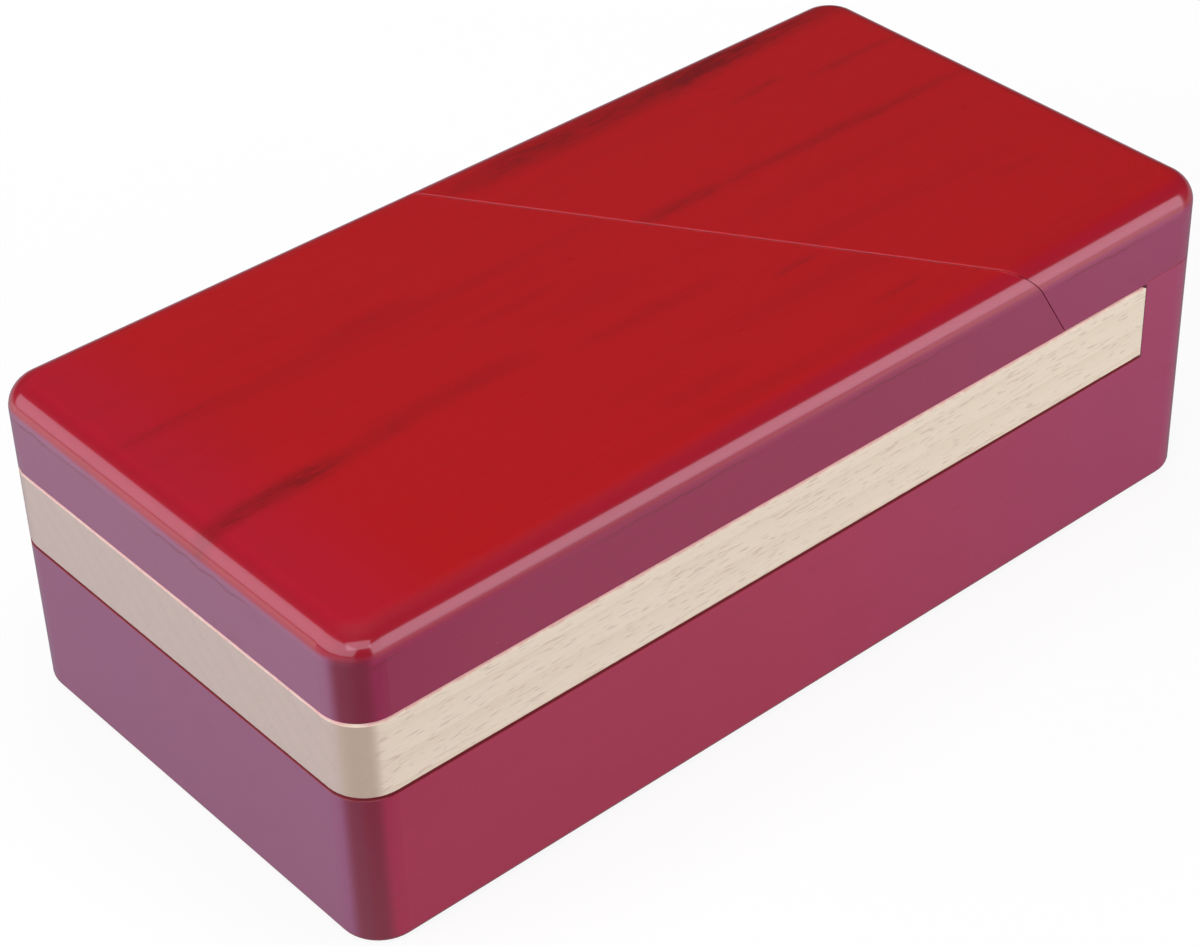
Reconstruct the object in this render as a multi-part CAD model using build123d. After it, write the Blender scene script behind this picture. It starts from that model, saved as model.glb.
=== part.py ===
"""Puzzle box: a lacquered wooden block with a hidden swivel lid and two captive lock pins.

The box rests on the XY plane. The origin is the middle of its underside, +X runs along its length from left
to right, -Y is the front and +Z is up. All sizes are in millimetres.

The upper half is cut in two by a diagonal seam. To its right is the fixed end, glued to the base. To its
left is the lid, which turns about a screw near the back left corner, so that its right end swings out to
the front. The seam is bevelled and the fixed end overhangs it, so the lid can't be lifted, only turned. Two
steel pins stand in the base under the lid's tongue. They hold the lid when they are drawn up into it, and
drop clear when the box is knocked down on a table.
"""

import os
from math import atan, cos

from build123d import *

# Outer form
box_length = 135.0
box_depth = 67.5
box_height = 43.5
corner_radius = 5.3
top_round = 3.6
foot_round = 1.0

# Sanded edges where the layers meet, at the seam, round the compartment and at the glue line
edge_ease = 0.25
seam_ease = 0.1
rim_ease = 0.5
glue_line_ease = 0.12

# Layers, from the ground up
base_height = 21.5
slab_top = 32.0
lid_gap_below = 0.05
overhang_gap = 0.1
upstand_rise = 0.7

# Diagonal seam, seen from above: where it meets the front edge, and how far it leans left per mm to the back
seam_from_left = 102.3
seam_lean = 0.6434
seam_gap = 0.12
seam_bevel = 0.6
upstand_from_left = 124.0

# Compartment in the base
left_wall = 16.0
long_wall = 8.0
floor_thickness = 5.0
web_thickness = 12.6
compartment_corner = 5.0

# Pivot, as distances from the left face and from the front face
pivot_from_left = 8.0
pivot_from_front = 59.5
screw_shank = 3.5
screw_length = 16.0
screw_tip_length = 3.5
screw_tip_diameter = 0.9
screw_head = 7.0
screw_head_height = 2.4
screw_head_chamfer = 0.9
drive_width = 1.9
drive_slot = 0.7
drive_depth = 1.1
washer_outer = 8.6
washer_thickness = 0.8
pivot_seat = 26.0
pivot_recess = 9.0
pivot_clearance = 0.1

# Stop pin and its arc groove in the underside of the slab
stop_reach = 22.0
stop_diameter = 4.0
stop_sunk = 8.0
stop_proud = 4.5
pin_chamfer = 0.4
groove_width = 4.3
groove_depth = 5.0
lid_swing = 95.0
groove_spare = 1.5

# Lock pins, as distances from the front face
lock_stations = {"front": 16.0, "back": 50.0}
lock_shank = 4.0
lock_head = 6.0
lock_head_height = 1.5
lock_length = 8.8
lock_floor = 12.5
lock_chamber = 6.4
collar_outer = 8.0
collar_height = 3.0
running_fit = 0.1
lock_socket = 5.0
lock_socket_depth = 6.4
magnet_height = 2.0

# Dowels, as distances from the left face and from the front face
dowel_diameter = 6.0
dowel_length = 12.0
dowel_half = 6.0
dowel_end_room = 0.5
dowel_chamfer = 0.5
lid_dowel_places = ((24.0, 14.0), (84.0, 12.0), (52.0, 52.0))
end_dowel_places = ((122.0, 20.0), (111.0, 50.0))
glued_fit = 0.02

# Worked out from the sizes above
seam_skew = atan(seam_lean)
slab_bottom = base_height + lid_gap_below
upstand_top = slab_top + upstand_rise
upstand_across = (upstand_from_left - seam_from_left) * cos(seam_skew)
bevel_across = seam_bevel * cos(seam_skew)
beyond = 2 * box_length

# Section plane square to the seam: its X runs across the seam towards the fixed end, its Y is up
seam_section = Plane(
    origin=(seam_from_left - box_length / 2, -box_depth / 2, 0),
    x_dir=(1, seam_lean, 0),
    z_dir=(seam_lean, -1, 0),
)


def spot(from_left, from_front):
    """The point in plan that lies these distances inside the left face and the front face."""
    return (from_left - box_length / 2, from_front - box_depth / 2)


def beside_seam(across, from_front):
    """The point in plan on the line beside the seam, at this distance across it and from the front face."""
    from_left = seam_from_left + across / cos(seam_skew) - seam_lean * from_front
    return spot(from_left, from_front)


def along_seam(*section):
    """A prism that runs the whole length of the seam, from its section as (across, up) points."""
    return extrude(seam_section * make_face(Polyline(*section, close=True)), amount=box_length, both=True)


def bevel_at(height):
    """How far across the seam its bevelled face stands at this height."""
    return bevel_across * (box_height - height)


def rod(place, diameter, low, high):
    """An upright cylinder at a place in plan, from one height to another."""
    return Pos(*place, low) * Cylinder(
        diameter / 2, high - low, align=(Align.CENTER, Align.CENTER, Align.MIN)
    )


def eased_rod(place, diameter, low, high, ease):
    """An upright pin with a small chamfer at both ends."""
    pin = rod(place, diameter, low, high)
    return chamfer(pin.edges().filter_by(GeomType.CIRCLE), ease)


def layer(low, high):
    """A block of the box's outline with rounded upright corners, from one height to another."""
    outline = RectangleRounded(box_length, box_depth, corner_radius)
    return Pos(0, 0, low) * extrude(outline, amount=high - low)


def top_edges(solid):
    """The edges round a block's top face."""
    return solid.faces().sort_by(Axis.Z)[-1].edges()


def bottom_edges(solid):
    """The edges round a block's underside."""
    return solid.faces().sort_by(Axis.Z)[0].edges()


def top_layer(underside):
    """The top layer of the box above this height, with its rounded top edge and an eased lower edge."""
    block = layer(underside, box_height)
    block = fillet(top_edges(block), top_round)
    return chamfer(bottom_edges(block), edge_ease)


def compartment():
    """The hollow milled in the base, with its right wall parallel to the seam."""
    web_side = upstand_across - web_thickness
    outline = make_face(
        Polyline(
            spot(left_wall, long_wall),
            beside_seam(web_side, long_wall),
            beside_seam(web_side, box_depth - long_wall),
            spot(left_wall, box_depth - long_wall),
            close=True,
        )
    )
    outline = fillet(outline.vertices(), compartment_corner)
    hollow = Pos(0, 0, floor_thickness) * extrude(outline, amount=base_height - floor_thickness)
    rim = Pos(0, 0, base_height) * extrude(offset(outline, rim_ease), amount=-rim_ease, taper=45)
    return hollow + rim


def lock_place(station):
    """The middle of the web between the compartment and the upstand, where a lock pin stands."""
    return beside_seam(upstand_across - web_thickness / 2, station)


def is_beside_upstand(edge):
    """Whether an edge of the base's shelf is the one that runs along the foot of the upstand."""
    along = Vector(-seam_lean, 1, 0).normalized()
    return edge.geom_type == GeomType.LINE and abs((edge % 0.5).dot(along)) > 0.999


def base_block():
    """The base, milled from one block with the upstand that carries the fixed end."""
    block = layer(0, upstand_top)
    block = fillet(bottom_edges(block), foot_round)
    block = chamfer(top_edges(block), glue_line_ease)
    block &= along_seam(
        (-beyond, 0),
        (beyond, 0),
        (beyond, upstand_top),
        (upstand_across, upstand_top),
        (upstand_across, base_height),
        (-beyond, base_height),
    )
    shelf = block.faces().filter_by(Axis.Z).group_by(Axis.Z)[1].sort_by(SortBy.AREA)[-1]
    foot_of_upstand = shelf.edges().filter_by(is_beside_upstand)
    block = chamfer(shelf.edges() - foot_of_upstand, edge_ease)
    block -= compartment()
    screw_tip = pivot_seat + lid_gap_below + washer_thickness - screw_length
    block -= rod(spot(pivot_from_left, pivot_from_front), screw_shank + 2 * glued_fit, screw_tip, slab_top)
    block -= rod(stop_place(), stop_diameter + 2 * glued_fit, base_height - stop_sunk, slab_top)
    for station in lock_stations.values():
        block -= rod(lock_place(station), lock_chamber, lock_floor, slab_top)
        collar_seat = base_height - collar_height
        block -= rod(lock_place(station), collar_outer + 2 * glued_fit, collar_seat, slab_top)
    for place in end_dowel_places:
        hole_floor = upstand_top - dowel_half
        block -= rod(spot(*place), dowel_diameter + 2 * glued_fit, hole_floor, box_height)
    return block


def end_top_plate():
    """The fixed piece of the top: it overhangs the seam and sits over the upstand in a shallow rebate."""
    underside = slab_top + overhang_gap
    plate = top_layer(underside) & along_seam(
        (bevel_at(underside), underside),
        (upstand_across, underside),
        (upstand_across, upstand_top),
        (beyond, upstand_top),
        (beyond, box_height),
        (seam_ease, box_height),
        (bevel_at(box_height - seam_ease), box_height - seam_ease),
    )
    for place in end_dowel_places:
        plate -= rod(spot(*place), dowel_diameter + 2 * glued_fit, slab_top, dowel_crown(upstand_top))
    return plate


def lid_slab():
    """The natural wood slab of the lid: its oblique right end is a tongue that runs under the fixed end."""
    tongue_end = upstand_across - seam_gap
    slab = layer(slab_bottom, slab_top)
    slab = chamfer(top_edges(slab) + bottom_edges(slab), edge_ease)
    slab &= along_seam(
        (-beyond, slab_bottom),
        (tongue_end - edge_ease, slab_bottom),
        (tongue_end, slab_bottom + edge_ease),
        (tongue_end, slab_top - edge_ease),
        (tongue_end - edge_ease, slab_top),
        (-beyond, slab_top),
    )
    pivot = spot(pivot_from_left, pivot_from_front)
    slab -= rod(pivot, screw_shank + 2 * pivot_clearance, base_height, slab_top)
    slab -= rod(pivot, pivot_recess, pivot_seat, slab_top)
    slab -= stop_groove()
    for station in lock_stations.values():
        slab -= rod(lock_place(station), lock_socket, base_height, slab_bottom + lock_socket_depth)
    for place in lid_dowel_places:
        slab -= rod(spot(*place), dowel_diameter + 2 * glued_fit, slab_top - dowel_half, slab_top)
    return slab


def lid_top_plate():
    """The lacquered top of the lid, with the bevelled edge that slips under the fixed end."""
    plate = top_layer(slab_top) & along_seam(
        (-beyond, slab_top),
        (bevel_at(slab_top) - seam_gap, slab_top),
        (bevel_at(box_height - seam_ease) - seam_gap, box_height - seam_ease),
        (-seam_ease - seam_gap, box_height),
        (-beyond, box_height),
    )
    for place in lid_dowel_places:
        plate -= rod(spot(*place), dowel_diameter + 2 * glued_fit, slab_top, dowel_crown(slab_top))
    return plate


def dowel_crown(joint_height):
    """The top of a dowel's hole above the joint that the dowel crosses."""
    return joint_height + dowel_length - dowel_half + dowel_end_room


def dowels(places, joint_height):
    """The glued dowels that cross one joint."""
    low = joint_height - dowel_half
    high = low + dowel_length
    return Compound([eased_rod(spot(*place), dowel_diameter, low, high, dowel_chamfer) for place in places])


def stop_place():
    """The stop pin's place: straight in front of the pivot."""
    return spot(pivot_from_left, pivot_from_front - stop_reach)


def stop_groove():
    """The arc groove in the slab's underside that rides over the stop pin as the lid swings."""
    path = CenterArc(
        spot(pivot_from_left, pivot_from_front), stop_reach, -90 - groove_spare, lid_swing + 2 * groove_spare
    )
    return Pos(0, 0, slab_bottom) * extrude(SlotArc(path, groove_width), amount=groove_depth)


def stop_pin():
    """The steel dowel pin that ends the lid's swing both ways."""
    low = base_height - stop_sunk
    return eased_rod(stop_place(), stop_diameter, low, base_height + stop_proud, pin_chamfer)


def pivot_washer():
    """The washer that clamps the slab, with only a hair of play."""
    place = spot(pivot_from_left, pivot_from_front)
    low = pivot_seat + lid_gap_below
    return rod(place, washer_outer, low, low + washer_thickness) - rod(
        place, screw_shank + 2 * glued_fit, low, low + washer_thickness
    )


def pivot_screw():
    """The pan head screw that the lid turns about, with a cross recess."""
    place = spot(pivot_from_left, pivot_from_front)
    seat = pivot_seat + lid_gap_below + washer_thickness
    head = rod(place, screw_head, seat, seat + screw_head_height)
    head = chamfer(top_edges(head), screw_head_chamfer)
    point = seat - screw_length
    shank = rod(place, screw_shank, point + screw_tip_length, seat)
    tip = Cone(screw_tip_diameter / 2, screw_shank / 2, screw_tip_length)
    tip = Pos(*place, point + screw_tip_length / 2) * tip
    slot = Box(2 * drive_width, drive_slot, 2 * drive_depth)
    recess = slot + Rot(0, 0, 90) * slot
    return head + shank + tip - Pos(*place, seat + screw_head_height) * recess


def lock_pin(station):
    """One captive lock pin, dropped: its head lies on the chamber floor and its tip is below the lid."""
    place = lock_place(station)
    shank = rod(place, lock_shank, lock_floor, lock_floor + lock_length)
    shank = chamfer(top_edges(shank), pin_chamfer)
    return shank + rod(place, lock_head, lock_floor, lock_floor + lock_head_height)


def lock_collar(station):
    """The brass collar that guides a lock pin and keeps its head in the chamber."""
    place = lock_place(station)
    low = base_height - collar_height
    return rod(place, collar_outer, low, base_height) - rod(
        place, lock_shank + 2 * running_fit, low, base_height
    )


def lock_magnet(station):
    """The disc magnet above a lock pin, at the top of the socket in the slab."""
    high = slab_bottom + lock_socket_depth
    return rod(lock_place(station), lock_socket - 2 * glued_fit, high - magnet_height, high)


def main():
    """Build every piece and write one file for each."""
    os.makedirs("parts", exist_ok=True)
    pieces = {
        "base_block": base_block(),
        "end_top_plate": end_top_plate(),
        "end_dowels": dowels(end_dowel_places, upstand_top),
        "lid_slab": lid_slab(),
        "lid_top_plate": lid_top_plate(),
        "lid_dowels": dowels(lid_dowel_places, slab_top),
        "pivot_screw": pivot_screw(),
        "pivot_washer": pivot_washer(),
        "stop_pin": stop_pin(),
    }
    for name, station in lock_stations.items():
        pieces[f"lock_pin_{name}"] = lock_pin(station)
        pieces[f"lock_collar_{name}"] = lock_collar(station)
        pieces[f"lock_magnet_{name}"] = lock_magnet(station)
    for name, piece in pieces.items():
        export_step(piece, f"parts/{name}.step")


main()
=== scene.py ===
"""The looks of the puzzle box: red lacquered beech above and below a slab of natural beech.

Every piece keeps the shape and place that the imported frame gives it. This script gives each one its wood,
lacquer or metal, lights the box softly over a pale floor and sets the camera at the photograph's viewing
angle.
"""

import logging
import math
from dataclasses import dataclass
from enum import Enum
from typing import Any, Mapping, Sequence, Union

import bpy
from mathutils import Matrix, Vector

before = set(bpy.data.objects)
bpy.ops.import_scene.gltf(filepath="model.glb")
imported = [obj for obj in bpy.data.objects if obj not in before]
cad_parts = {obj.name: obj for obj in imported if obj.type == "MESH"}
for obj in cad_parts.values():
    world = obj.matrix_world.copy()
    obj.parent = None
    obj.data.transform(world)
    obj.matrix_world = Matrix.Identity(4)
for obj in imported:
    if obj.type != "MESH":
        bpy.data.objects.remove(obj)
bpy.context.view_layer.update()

MM = 0.001
log = logging.getLogger("puzzle_box")

Colour = tuple[float, float, float]
Operand = Union["Sock", float]

# The box's main sizes in millimetres. The seam leans this far to the left per millimetre towards the back.
HALF_LENGTH = 67.5
HALF_DEPTH = 33.75
BOX_HEIGHT = 43.5
BASE_HEIGHT = 21.5
SEAM_LEAN = 0.6434

# The colours of the lamps and the backdrop: plain white, and the rose of what the lacquer mirrors
WHITE: Colour = (1.0, 1.0, 1.0)
ROSE: Colour = (1.0, 0.84, 1.06)


class Sock:
    """An output socket whose arithmetic adds Math nodes, or Vector Math nodes for a vector."""

    def __init__(self, graph: "Graph", socket: bpy.types.NodeSocket) -> None:
        """Wraps one output socket of a graph."""
        self.graph = graph
        self.socket = socket

    def _join(self, operation: str, first: Operand, second: Operand) -> "Sock":
        """Adds the node of one operation.

        Args:
            operation: The operation's name.
            first: The first operand.
            second: The second operand.

        Returns:
            The result.
        """
        kind = "ShaderNodeVectorMath" if self.socket.type == "VECTOR" else "ShaderNodeMath"
        return self.graph.node(kind, {"operation": operation}, {0: first, 1: second})

    def __add__(self, other: Operand) -> "Sock":
        """The sum."""
        return self._join("ADD", self, other)

    def __radd__(self, other: Operand) -> "Sock":
        """The sum, from the right."""
        return self._join("ADD", other, self)

    def __sub__(self, other: Operand) -> "Sock":
        """The difference."""
        return self._join("SUBTRACT", self, other)

    def __rsub__(self, other: Operand) -> "Sock":
        """The difference, from the right."""
        return self._join("SUBTRACT", other, self)

    def __mul__(self, other: Operand) -> "Sock":
        """The product."""
        return self._join("MULTIPLY", self, other)

    def __rmul__(self, other: Operand) -> "Sock":
        """The product, from the right."""
        return self._join("MULTIPLY", other, self)

    def __truediv__(self, other: Operand) -> "Sock":
        """The quotient."""
        return self._join("DIVIDE", self, other)

    def __rtruediv__(self, other: Operand) -> "Sock":
        """The quotient, from the right."""
        return self._join("DIVIDE", other, self)

    def __pow__(self, power: Operand) -> "Sock":
        """The value raised to a power."""
        return self._join("POWER", self, power)

    def __abs__(self) -> "Sock":
        """The value without its sign."""
        return self.graph.node("ShaderNodeMath", {"operation": "ABSOLUTE"}, {0: self})

    def root(self) -> "Sock":
        """The square root."""
        return self.graph.node("ShaderNodeMath", {"operation": "SQRT"}, {0: self})

    def fraction(self) -> "Sock":
        """What is left over the whole number below."""
        return self.graph.node("ShaderNodeMath", {"operation": "FRACT"}, {0: self})

    def highest(self, other: Operand) -> "Sock":
        """The larger of two values."""
        return self._join("MAXIMUM", self, other)

    def step(self, start: float, end: float) -> "Sock":
        """A smooth step from 0 to 1.

        Args:
            start: The value at which the result is 0.
            end: The value at which the result is 1.

        Returns:
            The stepped value.
        """
        settings = {"interpolation_type": "SMOOTHSTEP", "clamp": True}
        inputs = {"Value": self, "From Min": start, "From Max": end}
        return self.graph.node("ShaderNodeMapRange", settings, inputs)


@dataclass(frozen=True)
class Place:
    """Three values that belong together: a place in millimetres, or a direction."""

    x: Sock
    y: Sock
    z: Sock


class Graph:
    """The node graph of one material or of the world."""

    def __init__(self, owner: bpy.types.Material | bpy.types.World) -> None:
        """Starts the owner with an empty graph."""
        self.owner = owner
        owner.use_nodes = True
        self.tree = owner.node_tree
        self.tree.nodes.clear()

    def add(
        self,
        kind: str,
        settings: Mapping[str, Any] | None = None,
        inputs: Mapping[int | str, Any] | None = None,
    ) -> bpy.types.Node:
        """Adds a node, sets it up and feeds its sockets.

        Args:
            kind: The node's type.
            settings: Its properties.
            inputs: Values or links, by the name or number of the socket.

        Returns:
            The node.
        """
        node = self.tree.nodes.new(kind)
        for name, value in (settings or {}).items():
            setattr(node, name, value)
        for key, value in (inputs or {}).items():
            target = node.inputs[key]
            if isinstance(value, Sock):
                self.tree.links.new(value.socket, target)
            elif target.type == "RGBA":
                target.default_value = (*value, 1)
            else:
                target.default_value = value
        return node

    def node(
        self,
        kind: str,
        settings: Mapping[str, Any] | None = None,
        inputs: Mapping[int | str, Any] | None = None,
        output: int | str = 0,
    ) -> Sock:
        """Adds a node and wraps one of its outputs.

        Args:
            kind: The node's type.
            settings: Its properties.
            inputs: Values or links, by the name or number of the socket.
            output: The name or number of the output.

        Returns:
            The output.
        """
        return Sock(self, self.add(kind, settings, inputs).outputs[output])

    def split(self, vector: Sock) -> Place:
        """The three parts of a vector."""
        node = self.add("ShaderNodeSeparateXYZ", inputs={0: vector})
        return Place(Sock(self, node.outputs[0]), Sock(self, node.outputs[1]), Sock(self, node.outputs[2]))

    def place(self) -> Place:
        """The place on the piece, in millimetres in the part's frame."""
        metres = self.node("ShaderNodeTexCoord", output="Object")
        inputs = {0: metres, "Scale": 1 / MM}
        return self.split(self.node("ShaderNodeVectorMath", {"operation": "SCALE"}, inputs))

    def facing(self) -> Place:
        """The way that the surface faces."""
        return self.split(self.node("ShaderNodeTexCoord", output="Normal"))

    def corner_shade_mask(self, facing: Place) -> Sock:
        """Where shade is painted on the rounded upright corners, 1 where the surface faces midway between
        two sides.
        """
        return abs(facing.x * facing.y).step(0.24, 0.46)

    def noise(
        self,
        x: Operand,
        y: Operand,
        z: Operand,
        detail: float,
        roughness: float,
    ) -> Sock:
        """Noise from 0 to 1.

        Args:
            x: The first value that it is read at.
            y: The second.
            z: The third.
            detail: The number of finer layers.
            roughness: How strong the finer layers are.

        Returns:
            The noise.
        """
        at = self.node("ShaderNodeCombineXYZ", inputs={0: x, 1: y, 2: z})
        inputs = {"Vector": at, "Scale": 1.0, "Detail": detail, "Roughness": roughness}
        return self.node("ShaderNodeTexNoise", inputs=inputs)

    def specks(self, place: Place, spacing: float, radius: float) -> Sock:
        """Small round specks, 1 in their middle.

        Args:
            place: Where they are read.
            spacing: Their mean distance, in millimetres.
            radius: Their radius, in millimetres.

        Returns:
            The specks.
        """
        inputs = {0: place.x / spacing, 1: place.y / spacing, 2: place.z / spacing}
        at = self.node("ShaderNodeCombineXYZ", inputs=inputs)
        far = self.node("ShaderNodeTexVoronoi", inputs={"Vector": at, "Scale": 1.0}, output="Distance")
        return 1 - far.step(0.4 * radius / spacing, radius / spacing)

    def rays(self) -> tuple[Sock, Sock]:
        """Two kinds of ray that a backdrop treats in their own way.

        Returns:
            1 for the rays that the camera sends, also through glass, and 1 for the rays that gloss sends.
        """
        path = self.add("ShaderNodeLightPath")
        seen = Sock(self, path.outputs["Is Camera Ray"]) + Sock(self, path.outputs["Is Transmission Ray"])
        return seen, Sock(self, path.outputs["Is Glossy Ray"])

    def blend(self, share: Operand, first: Sock | Colour, second: Sock | Colour) -> Sock:
        """Mixes two colours.

        Args:
            share: How much of the second shows.
            first: The first colour.
            second: The second colour.

        Returns:
            The mixed colour.
        """
        settings = {"data_type": "RGBA", "blend_type": "MIX", "clamp_factor": True}
        return self.node("ShaderNodeMix", settings, {0: share, 6: first, 7: second}, output=2)

    def bump(self, height: Sock, depth: float) -> Sock:
        """A normal that follows a height.

        Args:
            height: The height, from 0 to 1.
            depth: How much a height of 1 is, in millimetres.

        Returns:
            The normal.
        """
        inputs = {"Strength": 1.0, "Distance": depth * MM, "Height": height}
        return self.node("ShaderNodeBump", inputs=inputs)

    def finish(self, inputs: Mapping[str, Any]) -> bpy.types.Material:
        """Ends the graph in one surface shader that takes the given inputs, and returns the material."""
        return self.show(self.node("ShaderNodeBsdfPrincipled", inputs=inputs))

    def show(self, shader: Sock) -> bpy.types.Material:
        """Sends a shader to the material's output and returns the material."""
        self.add("ShaderNodeOutputMaterial", inputs={"Surface": shader})
        return self.owner


@dataclass(frozen=True)
class Pattern:
    """A noise that is drawn out along the grain.

    Attributes:
        x: How often it repeats per millimetre along the box.
        y: How often it repeats per millimetre across the box.
        z: How often it repeats per millimetre upwards.
        detail: The number of finer layers.
        roughness: How strong the finer layers are.
    """

    x: float
    y: float
    z: float
    detail: float
    roughness: float

    def read(self, place: Place, shift: Sequence[float] = (0.0, 0.0, 0.0)) -> Sock:
        """The noise at a place.

        Args:
            place: The place on the piece.
            shift: How far the noise is moved each way, which picks another part of it.

        Returns:
            The noise, from 0 to 1.
        """
        axes = zip((place.x, place.y, place.z), (self.x, self.y, self.z), shift)
        at = [self.read_at(where, rate, move) for where, rate, move in axes]
        return place.x.graph.noise(*at, self.detail, self.roughness)

    @staticmethod
    def read_at(where: Sock, rate: float, move: float) -> Operand:
        """Where the noise is read on one axis.

        Args:
            where: The place on that axis, in millimetres.
            rate: How often the noise repeats per millimetre, or 0 if it doesn't change along that axis.
            move: How far it is moved.

        Returns:
            The value that it is read at.
        """
        if not rate:
            return move
        return where * rate + move if move else where * rate


class Board(Enum):
    """The boards that the lacquered pieces are cut from."""

    LID_TOP = "lid_top"
    END_TOP = "end_top"
    BASE = "base"


@dataclass(frozen=True)
class Streak:
    """A soft dark streak in the grain of a board.

    Attributes:
        x: Its middle, in millimetres along the box.
        y: Its middle, in millimetres across the box.
        reach: Half its length.
        spread: Half its width.
        lean: How far it leans towards the back for each millimetre along.
        depth: How dark it is, from 0 to 1.
    """

    x: float
    y: float
    reach: float
    spread: float
    lean: float
    depth: float


@dataclass(frozen=True)
class Seam:
    """The diagonal seam between the lid's top and the fixed end, in millimetres in the part's frame.

    Attributes:
        at_front: Where it meets the front face, along the box.
        front: The front face.
        top: The top of the box.
        lean: How far it runs to the left for each millimetre towards the back.
        bevel: How far it runs to the right for each millimetre down.
        gap: How wide it is.
        highlight_breaks: Where the highlight painted along its edges is broken.
    """

    at_front: float = 34.8
    front: float = -HALF_DEPTH
    top: float = BOX_HEIGHT
    lean: float = SEAM_LEAN
    bevel: float = 0.6
    gap: float = 0.12
    highlight_breaks: Pattern = Pattern(0.9, 0.9, 0.0, 2.0, 0.6)

    def seam_highlight(self, place: Place) -> Sock:
        """The fine pale line of a highlight painted along the seam's upper edges, broken here and there.

        Args:
            place: The place on the piece.

        Returns:
            The line, from 0 to 1.
        """
        lean = (place.y - self.front) * self.lean
        bevel = (self.top - place.z) * self.bevel
        right = place.x - self.at_front + lean - bevel
        from_seam = abs(right + self.gap / 2)
        # Painted highlight: a pale line along the seam's upper edges.
        broken = self.highlight_breaks.read(place, (0.0, 0.0, 4.0)).step(0.35, 0.68) * 0.5 + 0.5
        near_top = place.z.step(self.top - 0.9, self.top - 0.3)
        return (1 - from_seam.step(0.24, 0.44)) * near_top * broken


@dataclass(frozen=True)
class NaturalBeech:
    """Beech under clear lacquer, with its rings, ray flecks and warmer end grain.

    Attributes:
        tilt: How far the growth rings lean from level, in degrees.
        pale: The wood between the rings.
        warm: The wood at the end of a ring.
        fleck: The ray flecks.
        end: The end grain.
        end_ray: The rays in the end grain.
        corner_shade: The painted shade on the rounded upright corners.
        stained: The wood where the red of the board above has crept over its edge.
        joint: The painted shade where the slab meets the base below.
        drift: What bends the growth rings.
        fibre: The fibres in the wood's colour.
        ray: The rays, which show as flecks on the long sides.
        cluster: Where the flecks stand closer.
        pores: The fine pores.
        edge: What makes the red and the painted shade at the slab's edges ragged.
        sanded: The fibres that can be felt and that dull the lacquer.
        coat_roughness: How soft the lacquer's gloss is.
        relief: How deep the fibres are, in millimetres.
    """

    tilt: float = 40.0
    pale: Colour = (0.83, 0.76, 0.56)
    warm: Colour = (0.72, 0.63, 0.43)
    fleck: Colour = (0.42, 0.31, 0.21)
    end: Colour = (0.50, 0.42, 0.355)
    end_ray: Colour = (0.38, 0.31, 0.25)
    corner_shade: Colour = (0.48, 0.40, 0.28)
    stained: Colour = (0.66, 0.29, 0.27)
    joint: Colour = (0.30, 0.10, 0.08)
    drift: Pattern = Pattern(0.012, 0.05, 0.12, 2.0, 0.5)
    fibre: Pattern = Pattern(0.11, 2.3, 2.3, 3.0, 0.6)
    ray: Pattern = Pattern(0.46, 5.4, 0.17, 1.0, 0.4)
    cluster: Pattern = Pattern(0.05, 0.4, 0.15, 1.0, 0.5)
    pores: Pattern = Pattern(0.8, 7.0, 7.0, 1.0, 0.5)
    edge: Pattern = Pattern(0.9, 0.9, 0.0, 3.0, 0.7)
    sanded: Pattern = Pattern(0.2, 3.0, 3.0, 2.0, 0.6)
    coat_roughness: float = 0.12
    relief: float = 0.008

    def grain(self, place: Place) -> Place:
        """Turns a place into the grain's own directions.

        Args:
            place: The place on the piece.

        Returns:
            Millimetres along the grain, along the growth rings and across them.
        """
        turn = math.radians(self.tilt)
        along_ring = place.y * math.cos(turn) + place.z * math.sin(turn)
        across_ring = place.z * math.cos(turn) - place.y * math.sin(turn)
        return Place(place.x, along_ring, across_ring)

    def colour(self, graph: Graph, place: Place) -> Sock:
        """The wood's colour.

        Args:
            graph: The material's graph.
            place: The place on the piece.

        Returns:
            The colour.
        """
        at = self.grain(place)
        ring = (at.z * 0.34 + self.drift.read(at) * 1.4).fraction() ** 3.0
        fibre = self.fibre.read(at)
        ray = self.ray.read(at)
        cluster = self.cluster.read(at) * 0.10 - 0.05
        pores = self.pores.read(at)
        side = graph.blend(ring * 0.45 + fibre.step(0.45, 0.8) * 0.35, self.pale, self.warm)
        side = graph.blend(pores.step(0.60, 0.76) * 0.14, side, self.fleck)
        side = graph.blend((ray + cluster).step(0.60, 0.70) * 0.33, side, self.fleck)
        end = graph.blend(ring * 0.18 + fibre.step(0.45, 0.8) * 0.25, self.end, self.end_ray)
        end = graph.blend(ray.step(0.60, 0.75) * 0.22, end, self.end_ray)
        facing = graph.facing()
        wood = graph.blend(abs(facing.x).step(0.55, 0.85), side, end)
        # Painted shade on the rounded upright corners.
        return graph.blend(graph.corner_shade_mask(facing) * 0.85, wood, self.corner_shade)

    def material(self, bottom: float, top: float) -> bpy.types.Material:
        """The finished material of a slab between two red layers.

        Args:
            bottom: The slab's underside, in millimetres.
            top: Its upper face.

        Returns:
            The material.
        """
        graph = Graph(bpy.data.materials.new("natural_beech"))
        place = graph.place()
        ragged = self.edge.read(place) * 0.5
        above = (place.z + ragged).step(top - 0.12, top + 0.22)
        # Painted shade along the slab's lower outside edge, where it meets the base.
        below = 1 - (place.z - ragged).step(bottom - 0.22, bottom + 0.12)
        at_end = abs(place.x).step(HALF_LENGTH - 1.6, HALF_LENGTH - 0.6)
        at_side = abs(place.y).step(HALF_DEPTH - 1.55, HALF_DEPTH - 0.55)
        outside = at_end.highest(at_side)
        wood = graph.blend(above * outside * 0.7, self.colour(graph, place), self.stained)
        fibre = self.sanded.read(place)
        return graph.finish(
            {
                "Base Color": graph.blend(below * outside * 0.8, wood, self.joint),
                "Roughness": fibre * 0.16 + 0.30,
                "Coat Weight": 0.7,
                "Coat Roughness": self.coat_roughness,
                "Coat IOR": 1.5,
                "Normal": graph.bump(fibre, self.relief),
            }
        )


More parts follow.
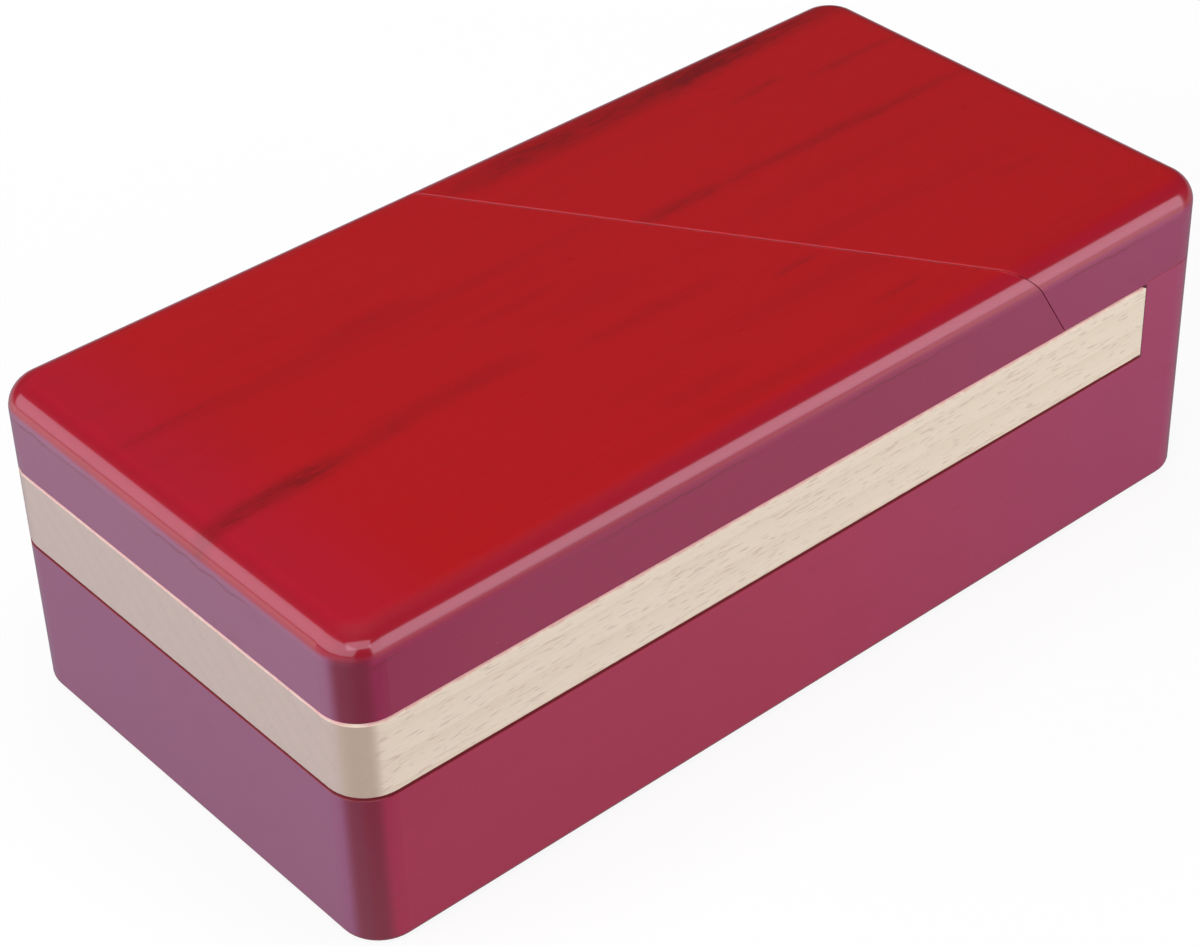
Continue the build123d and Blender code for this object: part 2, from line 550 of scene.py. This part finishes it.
@dataclass(frozen=True)
class Hollow:
    """The compartment in the base, bare inside, in millimetres from the middle and from the ground.

    Attributes:
        reach_x: How far it may reach along the box.
        reach_y: How far it may reach across the box.
        floor: Its floor.
        rim: Its rim, over which some red has run.
        run: What makes the edge of that red ragged.
    """

    reach_x: float = 62.0
    reach_y: float = 29.0
    floor: float = 5.0
    rim: float = BASE_HEIGHT
    run: Pattern = Pattern(0.5, 0.5, 0.5, 3.0, 0.7)

    def bare(self, place: Place) -> Sock:
        """Where the wood is bare.

        Args:
            place: The place on the piece.

        Returns:
            The bare wood, from 0 to 1.
        """
        ragged = self.run.read(place) * 0.8
        across = 1 - abs(place.y).step(self.reach_y - 0.5, self.reach_y)
        along = 1 - abs(place.x).step(self.reach_x - 0.5, self.reach_x)
        above_floor = place.z.step(self.floor - 1.0, self.floor - 0.5)
        below_rim = 1 - (place.z + ragged).step(self.rim - 0.25, self.rim + 0.05)
        return across * along * above_floor * below_rim


@dataclass(frozen=True)
class Joint:
    """The joint between the base and the lid, in millimetres in the part's frame.

    Attributes:
        height: Its height.
        end_at_front: Where it ends at the upstand on the front face.
        front: The front face.
        lean: How far the upstand's wall runs to the left for each millimetre towards the back.
    """

    height: float = BASE_HEIGHT
    end_at_front: float = 56.5
    front: float = -HALF_DEPTH
    lean: float = SEAM_LEAN

    def dull(self, place: Place, facing: Place) -> Sock:
        """Where shade is painted dark along the base's upper edge under the lid, and the gloss is taken
        off.

        Args:
            place: The place on the piece.
            facing: The way that the surface faces.

        Returns:
            The painted shade, from 0 to 1.
        """
        right = place.x + (place.y - self.front) * self.lean
        under_lid = 1 - right.step(self.end_at_front - 0.2, self.end_at_front + 0.1)
        edge = place.z.step(self.height - 0.30, self.height - 0.15)
        edge = edge * (1 - place.z.step(self.height, self.height + 0.05))
        return edge * under_lid * (1 - facing.z.step(0.9, 0.98))


@dataclass(frozen=True)
class RedLacquer:
    """Gloss lacquer over red stained beech.

    Attributes:
        board: The board that the piece is cut from.
        red: The red that the top is stained.
        rounding: The darker red of shade painted on the rounded edges.
        dark: The darkest streaks.
        crimson: The cooler red of a reflection painted on the top towards the left end.
        side: The red of the long sides, with a bluish reflection painted in.
        cool: The long sides' red towards the right end, with a stronger bluish reflection painted in.
        end: The darker red of the end grain, with a bluish reflection painted in.
        corner_shade: The painted shade on the rounded upright corners.
        pale: The pale red of dust specks under the lacquer, and of the highlight painted along the seam.
        shadow: The painted shade in the joint under the lid.
        streaks: The streaks of this board.
        run_height: The height at which the lacquer has run and stopped below a rounding, or 0.
        seed: A number that picks this board's grain.
        wander: What bends the streaks.
        thread: The threads in the streaks.
        sag: How far the lacquer has run.
        broken: Where its run shows.
        figure: The broad shades of the board.
        fibre: The fibres in the board's colour.
        ray: The short rays.
        sanded: The fibres that can be felt.
        peel: The slight waves of the lacquer's surface.
        nib_spacing: How far apart specks of dust stand under the lacquer, in millimetres.
        nib_radius: How large they are, in millimetres.
        coat_roughness: How soft the lacquer's gloss is.
        coat_ior: The lacquer's refractive index, high so that it mirrors as strongly as in the photograph.
        relief: How deep the surface's waves are, in millimetres.
    """

    board: Board
    red: Colour = (0.390, 0.0070, 0.0095)
    rounding: Colour = (0.300, 0.0070, 0.0190)
    dark: Colour = (0.170, 0.0075, 0.0095)
    crimson: Colour = (0.385, 0.0085, 0.0280)
    side: Colour = (0.372, 0.0060, 0.0470)
    cool: Colour = (0.320, 0.0200, 0.0950)
    end: Colour = (0.245, 0.0670, 0.1430)
    corner_shade: Colour = (0.175, 0.0040, 0.0150)
    pale: Colour = (0.60, 0.0550, 0.0620)
    shadow: Colour = (0.09, 0.0080, 0.0110)
    streaks: tuple[Streak, ...] = ()
    run_height: float = 0.0
    seed: float = 0.0
    wander: Pattern = Pattern(0.10, 0.22, 0.0, 4.0, 0.7)
    thread: Pattern = Pattern(0.24, 1.7, 0.0, 3.0, 0.65)
    sag: Pattern = Pattern(0.34, 0.34, 0.0, 3.0, 0.6)
    broken: Pattern = Pattern(0.055, 0.055, 0.0, 1.0, 0.5)
    figure: Pattern = Pattern(0.011, 0.15, 0.20, 4.0, 0.6)
    fibre: Pattern = Pattern(0.10, 2.2, 2.2, 3.0, 0.6)
    ray: Pattern = Pattern(0.40, 2.4, 2.4, 1.0, 0.4)
    sanded: Pattern = Pattern(0.15, 2.6, 2.6, 2.0, 0.6)
    peel: Pattern = Pattern(0.55, 0.55, 0.55, 2.0, 0.5)
    nib_spacing: float = 19.0
    nib_radius: float = 0.22
    coat_roughness: float = 0.12
    coat_ior: float = 2.0
    relief: float = 0.012

    def streak_mask(self, place: Place) -> Operand:
        """The soft streaks of this board.

        Args:
            place: The place on the piece.

        Returns:
            The streaks, from 0 to 1.
        """
        wander = self.wander.read(place, (0.0, 0.0, self.seed)) * 2.4 - 1.2
        thread = self.thread.read(place, (0.0, 0.0, self.seed + 2)).step(0.25, 0.75) * 0.75 + 0.25
        total: Operand = 0.0
        for streak in self.streaks:
            along = (place.x - streak.x) / streak.reach
            across = place.y - streak.y - (place.x - streak.x) * streak.lean + wander
            across = across / streak.spread
            far = (along * along * along * along + across * across).root()
            total = (1 - far.step(0.0, 1.0)) * streak.depth + total
        return total * thread

    def run_line(self, place: Place) -> Sock:
        """The thin ragged line where the lacquer has run and stopped, broken here and there.

        Args:
            place: The place on the piece.

        Returns:
            The line, from 0 to 1.
        """
        sag = self.sag.read(place, (0.0, 0.0, self.seed + 5)) * 1.7 - 0.85
        here = self.broken.read(place, (0.0, 0.0, self.seed + 9)).step(0.47, 0.60)
        return (1 - abs(place.z - self.run_height + sag).step(0.04, 0.24)) * here

    def colour(self, graph: Graph, place: Place) -> Sock:
        """The lacquered colour.

        Args:
            graph: The material's graph.
            place: The place on the piece.

        Returns:
            The colour.
        """
        facing = graph.facing()
        end_grain = abs(facing.x).step(0.62, 0.80)
        upright = 1 - abs(facing.z).step(0.10, 0.32)
        # Painted shade: the rounded edges turn a darker red.
        rounded = (1 - abs(facing.z)).root().step(0.0, 0.42)
        # A reflection painted on the top: cooler red towards the left end.
        left_end_reflection = 1 - place.x.step(0.5 - HALF_LENGTH, 18.5 - HALF_LENGTH)
        top = graph.blend(left_end_reflection * 0.75, self.red, self.crimson)
        top = graph.blend(rounded, top, self.rounding)
        # The walls carry a painted bluish reflection, stronger towards the right end.
        long_side = graph.blend(place.x.step(-20.0, 72.0) * 0.8, self.side, self.cool)
        wall = graph.blend(end_grain, long_side, self.end)
        # Painted shade on the rounded upright corners.
        wall = graph.blend(graph.corner_shade_mask(facing) * 0.85, wall, self.corner_shade)
        # The top's and walls' red, with the painted reflections and shade in it.
        stain_and_painted_light = graph.blend(upright, top, wall)
        figure = self.figure.read(place, (self.seed * 7, 0.0, 0.0))
        fibre = self.fibre.read(place, (0.0, 0.0, self.seed))
        ray = self.ray.read(place, (0.0, self.seed, 0.0))
        shade = figure.step(0.50, 0.80) * 0.24 + fibre.step(0.50, 0.85) * 0.12 + ray.step(0.66, 0.76) * 0.10
        shade = shade * (1 - end_grain * upright * 0.6)
        if self.streaks:
            shade = shade + self.streak_mask(place) * (1 - upright)
        if self.run_height:
            shade = shade + self.run_line(place) * 0.5
        return graph.blend(shade, stain_and_painted_light, self.dark)

    def material(
        self,
        seam_highlight: Seam | None = None,
        joint: Joint | None = None,
        bare: tuple[Hollow, NaturalBeech] | None = None,
    ) -> bpy.types.Material:
        """The finished material.

        Args:
            seam_highlight: The seam along whose upper edges a pale highlight is painted on this board.
            joint: The joint at this board's upper edge, where shade is painted.
            bare: The hollow in this board and its wood.

        Returns:
            The material.
        """
        graph = Graph(bpy.data.materials.new(f"red_lacquer_{self.board.value}"))
        place = graph.place()
        nibs = graph.specks(place, self.nib_spacing, self.nib_radius)
        colour = graph.blend(nibs * 0.35, self.colour(graph, place), self.pale)
        coat: Operand = 1.0
        fibre = self.sanded.read(place)
        rough = fibre * 0.10 + 0.25
        if joint:
            # Painted shade in the joint under the lid, with the gloss taken off there.
            dull = joint.dull(place, graph.facing())
            colour = graph.blend(dull * 0.8, colour, self.shadow)
            coat = coat * (1 - dull)
            rough = dull * 0.4 + rough
        if seam_highlight:
            # A highlight painted pale along the seam's upper edges, with the gloss taken off there.
            painted_highlight = seam_highlight.seam_highlight(place)
            colour = graph.blend(painted_highlight * 0.4, colour, self.pale)
            coat = coat * (1 - painted_highlight)
            rough = painted_highlight * 0.35 + rough
        if bare:
            hollow, wood = bare
            open_wood = hollow.bare(place)
            colour = graph.blend(open_wood, colour, wood.colour(graph, place))
            coat = coat * (1 - open_wood)
        waves = self.peel.read(place) * 0.8 + fibre * 0.2 + nibs * 0.3
        return graph.finish(
            {
                "Base Color": colour,
                "Roughness": rough,
                "Coat Weight": coat,
                "Coat Roughness": self.coat_roughness,
                "Coat IOR": self.coat_ior,
                "Specular IOR Level": 0.25,
                "Normal": graph.bump(waves, self.relief),
            }
        )


@dataclass(frozen=True)
class DowelBeech:
    """Raw beech of the dowels, whose grain runs upwards.

    Attributes:
        pale: The wood between the fibres.
        dark: The fibres.
        fibre: How the fibres run.
        relief: How deep they are, in millimetres.
    """

    pale: Colour = (0.66, 0.50, 0.32)
    dark: Colour = (0.44, 0.30, 0.17)
    fibre: Pattern = Pattern(3.0, 3.0, 0.2, 3.0, 0.6)
    relief: float = 0.02

    def material(self) -> bpy.types.Material:
        """Makes the finished material.

        Returns:
            The material.
        """
        graph = Graph(bpy.data.materials.new("dowel_beech"))
        fibre = self.fibre.read(graph.place())
        colour = graph.blend(fibre.step(0.4, 0.75), self.pale, self.dark)
        normal = graph.bump(fibre, self.relief)
        return graph.finish({"Base Color": colour, "Roughness": 0.7, "Normal": normal})


@dataclass(frozen=True)
class TurnedMetal:
    """A turned or plated metal with fine marks.

    Attributes:
        name: The material's name.
        tone: The bright metal.
        dull: The duller marks.
        roughness: How rough it is.
        ridge: The distance between its turning marks, in millimetres.
        metallic: How metallic it is. Below 1, so that the lamps that don't show in gloss still light it.
        marks: The duller marks' shapes.
        relief: How deep the turning marks are, in millimetres.
    """

    name: str
    tone: Colour
    dull: Colour
    roughness: float
    ridge: float
    metallic: float = 0.6
    marks: Pattern = Pattern(1.8, 1.8, 1.8, 3.0, 0.6)
    relief: float = 0.004

    def material(self) -> bpy.types.Material:
        """Makes the finished material.

        Returns:
            The material.
        """
        graph = Graph(bpy.data.materials.new(self.name))
        place = graph.place()
        marks = self.marks.read(place)
        turning = graph.noise(0.0, 0.0, place.z / self.ridge, 1.0, 0.5)
        return graph.finish(
            {
                "Base Color": graph.blend(marks.step(0.35, 0.75), self.tone, self.dull),
                "Metallic": self.metallic,
                "Roughness": marks * 0.12 + turning * 0.10 + (self.roughness - 0.11),
                "Normal": graph.bump(turning, self.relief),
            }
        )


def dress(names: Sequence[str], material: bpy.types.Material) -> None:
    """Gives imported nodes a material.

    Args:
        names: The nodes.
        material: Their material.
    """
    for name in names:
        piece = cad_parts[name]
        piece.data.materials.clear()
        piece.data.materials.append(material)
        log.info("dressed %s with %s", name, material.name)


@dataclass
class Lid:
    """The swivel lid: the natural slab and its lacquered top.

    Attributes:
        slab_bottom: The slab's underside, in millimetres.
        slab_top: Its upper face.
        seam: The seam at its right edge.
        wood: The slab's wood.
        streaks: The dark streaks in its top.
    """

    slab_bottom: float = 21.55
    slab_top: float = 32.0
    seam: Seam = Seam()
    wood: NaturalBeech = NaturalBeech()
    streaks: tuple[Streak, ...] = (
        Streak(-59.0, -7.2, 14.0, 2.6, 0.02, 0.90),
        Streak(-47.0, -6.6, 12.0, 2.2, 0.02, 0.40),
        Streak(-31.0, -5.6, 15.0, 2.8, 0.00, 0.42),
        Streak(-4.0, -8.6, 14.0, 1.8, -0.03, 0.32),
        Streak(16.0, -13.2, 4.6, 0.9, 0.02, 0.55),
        Streak(21.0, -25.0, 5.5, 0.8, 0.00, 0.50),
        Streak(-57.0, 11.9, 10.5, 0.9, 0.00, 0.42),
        Streak(-29.0, 13.0, 9.0, 1.5, 0.03, 0.30),
        Streak(-14.0, 3.2, 9.0, 1.7, -0.02, 0.26),
        Streak(-9.0, -24.0, 9.0, 2.2, 0.00, 0.22),
    )

    def dress(self) -> None:
        """Dresses the lid's wooden pieces."""
        lacquer = RedLacquer(
            Board.LID_TOP,
            # The sides' and ends' colours carry a painted bluish reflection.
            side=(0.285, 0.0090, 0.0540),
            cool=(0.270, 0.0140, 0.0700),
            end=(0.258, 0.0870, 0.1560),
            streaks=self.streaks,
            run_height=39.7,
            seed=1.0,
        )
        dress(["lid_top_plate"], lacquer.material(seam_highlight=self.seam))
        dress(["lid_slab"], self.wood.material(self.slab_bottom, self.slab_top))


@dataclass
class Base:
    """The base with its upstand, and the fixed end of the top.

    Attributes:
        joint: The joint with the lid.
        seam: The seam at the fixed end's left edge.
        hollow: The compartment.
        wood: The bare wood in it.
        streaks: The dark streaks in the fixed end.
    """

    joint: Joint = Joint()
    seam: Seam = Seam()
    hollow: Hollow = Hollow()
    wood: NaturalBeech = NaturalBeech(tilt=12.0)
    streaks: tuple[Streak, ...] = (
        Streak(22.0, 28.8, 34.0, 4.2, 0.02, 1.00),
        Streak(50.0, 29.8, 24.0, 3.2, 0.00, 0.90),
        Streak(41.0, 20.3, 6.5, 1.1, 0.00, 0.50),
        Streak(57.0, 18.2, 11.0, 1.2, 0.00, 0.55),
        Streak(15.0, 6.4, 8.0, 1.8, 0.00, 0.75),
        Streak(42.0, 6.0, 28.0, 1.5, -0.02, 0.66),
        Streak(52.0, -15.5, 5.0, 1.2, 0.00, 0.30),
    )

    def dress(self) -> None:
        """Dresses the base's wooden pieces."""
        end_top = RedLacquer(
            Board.END_TOP,
            # The sides' and ends' colours carry a painted bluish reflection.
            side=(0.285, 0.0100, 0.0600),
            cool=(0.285, 0.0180, 0.0850),
            streaks=self.streaks,
            run_height=39.7,
            seed=3.0,
        )
        block = RedLacquer(Board.BASE, seed=2.0)
        dress(["base_block"], block.material(joint=self.joint, bare=(self.hollow, self.wood)))
        dress(["end_top_plate"], end_top.material(seam_highlight=self.seam))


@dataclass
class Works:
    """The metal pieces of the mechanism and the dowels.

    Attributes:
        steel: The screw's, its washer's and the pins' metal.
        brass: The collars' metal.
        nickel: The magnets' plating.
        dowel: The dowels' wood.
    """

    steel: TurnedMetal = TurnedMetal("zinc_steel", (0.61, 0.62, 0.63), (0.40, 0.41, 0.43), 0.32, 0.25)
    brass: TurnedMetal = TurnedMetal("turned_brass", (0.78, 0.56, 0.24), (0.55, 0.36, 0.12), 0.26, 0.3)
    nickel: TurnedMetal = TurnedMetal("nickel_plate", (0.68, 0.65, 0.60), (0.50, 0.47, 0.43), 0.20, 2.0)
    dowel: DowelBeech = DowelBeech()

    def dress(self) -> None:
        """Dresses every piece of the works."""
        steel = self.steel.material()
        dress(["pivot_screw", "pivot_washer", "stop_pin", "lock_pin_front", "lock_pin_back"], steel)
        dress(["lock_collar_front", "lock_collar_back"], self.brass.material())
        dress(["lock_magnet_front", "lock_magnet_back"], self.nickel.material())
        dress(["end_dowels", "lid_dowels"], self.dowel.material())


def direction(azimuth: float, elevation: float) -> Vector:
    """The way from the box towards a place around it.

    Args:
        azimuth: Its turn from the front towards the right, in degrees.
        elevation: Its height above the floor, in degrees.

    Returns:
        A vector one unit long.
    """
    turn, lift = math.radians(azimuth), math.radians(elevation)
    return Vector((math.sin(turn) * math.cos(lift), -math.cos(turn) * math.cos(lift), math.sin(lift)))


@dataclass(frozen=True)
class Lamp:
    """A soft rectangular lamp aimed at the middle of the box.

    Attributes:
        name: Its name.
        azimuth: Where it hangs, in degrees turned from the front towards the right.
        elevation: Its height above the floor, in degrees.
        distance: Its distance, in metres.
        width: Its width, in metres.
        height: Its height, in metres.
        power: Its power, in watts.
        tint: Its colour.
        in_gloss: Whether it shows in the gloss of the lacquer.
    """

    name: str
    azimuth: float
    elevation: float
    distance: float
    width: float
    height: float
    power: float
    tint: Colour = WHITE
    in_gloss: bool = True

    def hang(self) -> None:
        """Hangs the lamp."""
        data = bpy.data.lights.new(self.name, "AREA")
        data.shape = "RECTANGLE"
        data.size = self.width
        data.size_y = self.height
        data.energy = self.power
        data.color = self.tint
        away = direction(self.azimuth, self.elevation)
        lamp = bpy.data.objects.new(self.name, data)
        lamp.location = away * self.distance
        lamp.rotation_euler = away.to_track_quat("Z", "Y").to_euler()
        lamp.visible_glossy = self.in_gloss
        bpy.context.scene.collection.objects.link(lamp)
        log.info("hung lamp %s", self.name)


@dataclass
class Studio:
    """The pale floor, the soft lamps and the camera.

    Attributes:
        floor_size: The floor's width, in metres.
        floor_seen: How much of what the camera sees of the floor is plain white, without shadow.
        floor_white: The brightness of the rest.
        floor_in_gloss: How bright the floor is in gloss near the box, from 0 to 1.
        far_in_gloss: How bright it is in gloss far from the box.
        far_range: Where it turns from near to far, in millimetres from the box's middle.
        before_range: Where it ends in gloss before the box, in millimetres towards the camera.
        behind_range: Where the far brightness ends behind the box, in millimetres.
        behind_azimuth: The direction behind the box, in degrees turned from the front towards the right.
        floor_tint: The colour of the light that the floor throws back.
        world_level: How bright the surroundings are.
        world_in_gloss: How much of plain white gloss shows of them.
        lamps: The lamps.
        azimuth: Where the camera stands, in degrees turned from the front towards the right.
        elevation: Its height above the floor, in degrees.
        roll: How far it is rolled, in degrees.
        distance: Its distance from the aim, in metres.
        aim: What it looks at, in metres.
        lens: Its focal length, in millimetres.
        sensor: Its sensor's width, in millimetres.
    """

    floor_size: float = 8.0
    floor_seen: float = 0.87
    floor_white: float = 0.85
    floor_in_gloss: float = 0.15
    far_in_gloss: float = 0.50
    far_range: tuple[float, float] = (90.0, 260.0)
    before_range: tuple[float, float] = (60.0, 100.0)
    behind_range: tuple[float, float] = (20.0, 80.0)
    behind_azimuth: float = 130.0
    floor_tint: Colour = (0.12, 0.10, 0.14)
    world_level: float = 0.012
    world_in_gloss: float = 0.01
    lamps: tuple[Lamp, ...] = (
        Lamp("above", 0.0, 90.0, 1.1, 1.0, 1.0, 8.4, in_gloss=False),
        Lamp("right_fill", 46.0, 12.0, 0.9, 0.8, 0.4, 6.2, in_gloss=False),
        Lamp("left_fill", -105.0, 22.0, 0.9, 1.4, 0.6, 8.9, in_gloss=False),
        Lamp("back_fill", 150.0, 14.0, 0.9, 1.0, 0.4, 3.4, in_gloss=False),
        Lamp("left_wall", -95.0, 24.0, 0.9, 2.4, 0.65, 4.5, ROSE),
        Lamp("camera_wall", -32.0, 37.0, 0.9, 0.8, 0.4, 1.05, ROSE),
        Lamp("front_panel", 22.0, 17.0, 0.9, 0.95, 0.54, 2.0, ROSE),
    )

    azimuth: float = -39.882
    elevation: float = 36.750
    roll: float = -1.943
    distance: float = 0.37565
    aim: tuple[float, float, float] = (-0.009612, -0.006, 0.02175)
    lens: float = 93.57
    sensor: float = 36.0

    def set_camera(self) -> None:
        """Sets the camera at the photograph's place."""
        turn, roll = math.radians(self.azimuth), math.radians(self.roll)
        back = direction(self.azimuth, self.elevation)
        level = Vector((math.cos(turn), math.sin(turn), 0))
        right = math.cos(roll) * level + math.sin(roll) * back.cross(level)
        up = back.cross(right)
        data = bpy.data.cameras.new("camera")
        data.sensor_width = self.sensor
        data.lens = self.lens
        data.clip_start = 0.01
        camera = bpy.data.objects.new("camera", data)
        turned = Matrix((right, up, back)).transposed().to_4x4()
        camera.matrix_world = Matrix.Translation(Vector(self.aim) + back * self.distance) @ turned
        bpy.context.scene.collection.objects.link(camera)
        bpy.context.scene.camera = camera

    def floor_glow(self, place: Place) -> Sock:
        """How bright the floor is in the gloss of the box.

        Args:
            place: The place on the floor.

        Returns:
            The brightness, from 0 to 1.
        """
        towards_camera = direction(self.azimuth, 0.0)
        before = place.x * towards_camera.x + place.y * towards_camera.y
        backwards = direction(self.behind_azimuth, 0.0)
        behind = place.x * backwards.x + place.y * backwards.y
        far = (place.x * place.x + place.y * place.y).root().step(*self.far_range)
        away = far * (1 - behind.step(*self.behind_range))
        glow = away * (self.far_in_gloss - self.floor_in_gloss) + self.floor_in_gloss
        return glow * (1 - before.step(*self.before_range))

    def lay_floor(self) -> None:
        """Lays the pale floor, near white to the camera and softly shadowed."""
        half = self.floor_size / 2
        mesh = bpy.data.meshes.new("floor")
        corners = [(-half, -half, 0), (half, -half, 0), (half, half, 0), (-half, half, 0)]
        mesh.from_pydata(corners, [], [(0, 1, 2, 3)])
        floor = bpy.data.objects.new("floor", mesh)
        bpy.context.scene.collection.objects.link(floor)
        graph = Graph(bpy.data.materials.new("floor"))
        seen, gloss = graph.rays()
        tint = graph.blend(seen, self.floor_tint, (self.floor_white, self.floor_white, self.floor_white))
        paper = graph.node("ShaderNodeBsdfPrincipled", inputs={"Base Color": tint, "Roughness": 0.3})
        white = graph.node("ShaderNodeEmission", inputs={"Color": WHITE, "Strength": 1.0})
        share = seen * self.floor_seen + gloss * self.floor_glow(graph.place())
        shader = graph.node("ShaderNodeMixShader", inputs={0: share, 1: paper, 2: white})
        mesh.materials.append(graph.show(shader))

    def set_world(self) -> None:
        """Sets a dim world that the camera sees as white."""
        world = bpy.data.worlds.new("world")
        bpy.context.scene.world = world
        graph = Graph(world)
        seen, gloss = graph.rays()
        dim = graph.node("ShaderNodeBackground", inputs={"Color": WHITE, "Strength": self.world_level})
        white = graph.node("ShaderNodeBackground", inputs={"Color": WHITE, "Strength": 1.0})
        share = seen + gloss * self.world_in_gloss
        mix = graph.node("ShaderNodeMixShader", inputs={0: share, 1: dim, 2: white})
        graph.add("ShaderNodeOutputWorld", inputs={"Surface": mix})

    def build(self) -> None:
        """Sets up the whole studio."""
        self.set_camera()
        self.lay_floor()
        self.set_world()
        for lamp in self.lamps:
            lamp.hang()
        bpy.context.scene.view_settings.view_transform = "Standard"


def main() -> None:
    """Builds the studio and dresses the box."""
    logging.basicConfig(level=logging.INFO, format="%(message)s")
    Studio().build()
    Base().dress()
    Lid().dress()
    Works().dress()


if __name__ == "__main__":
    main()
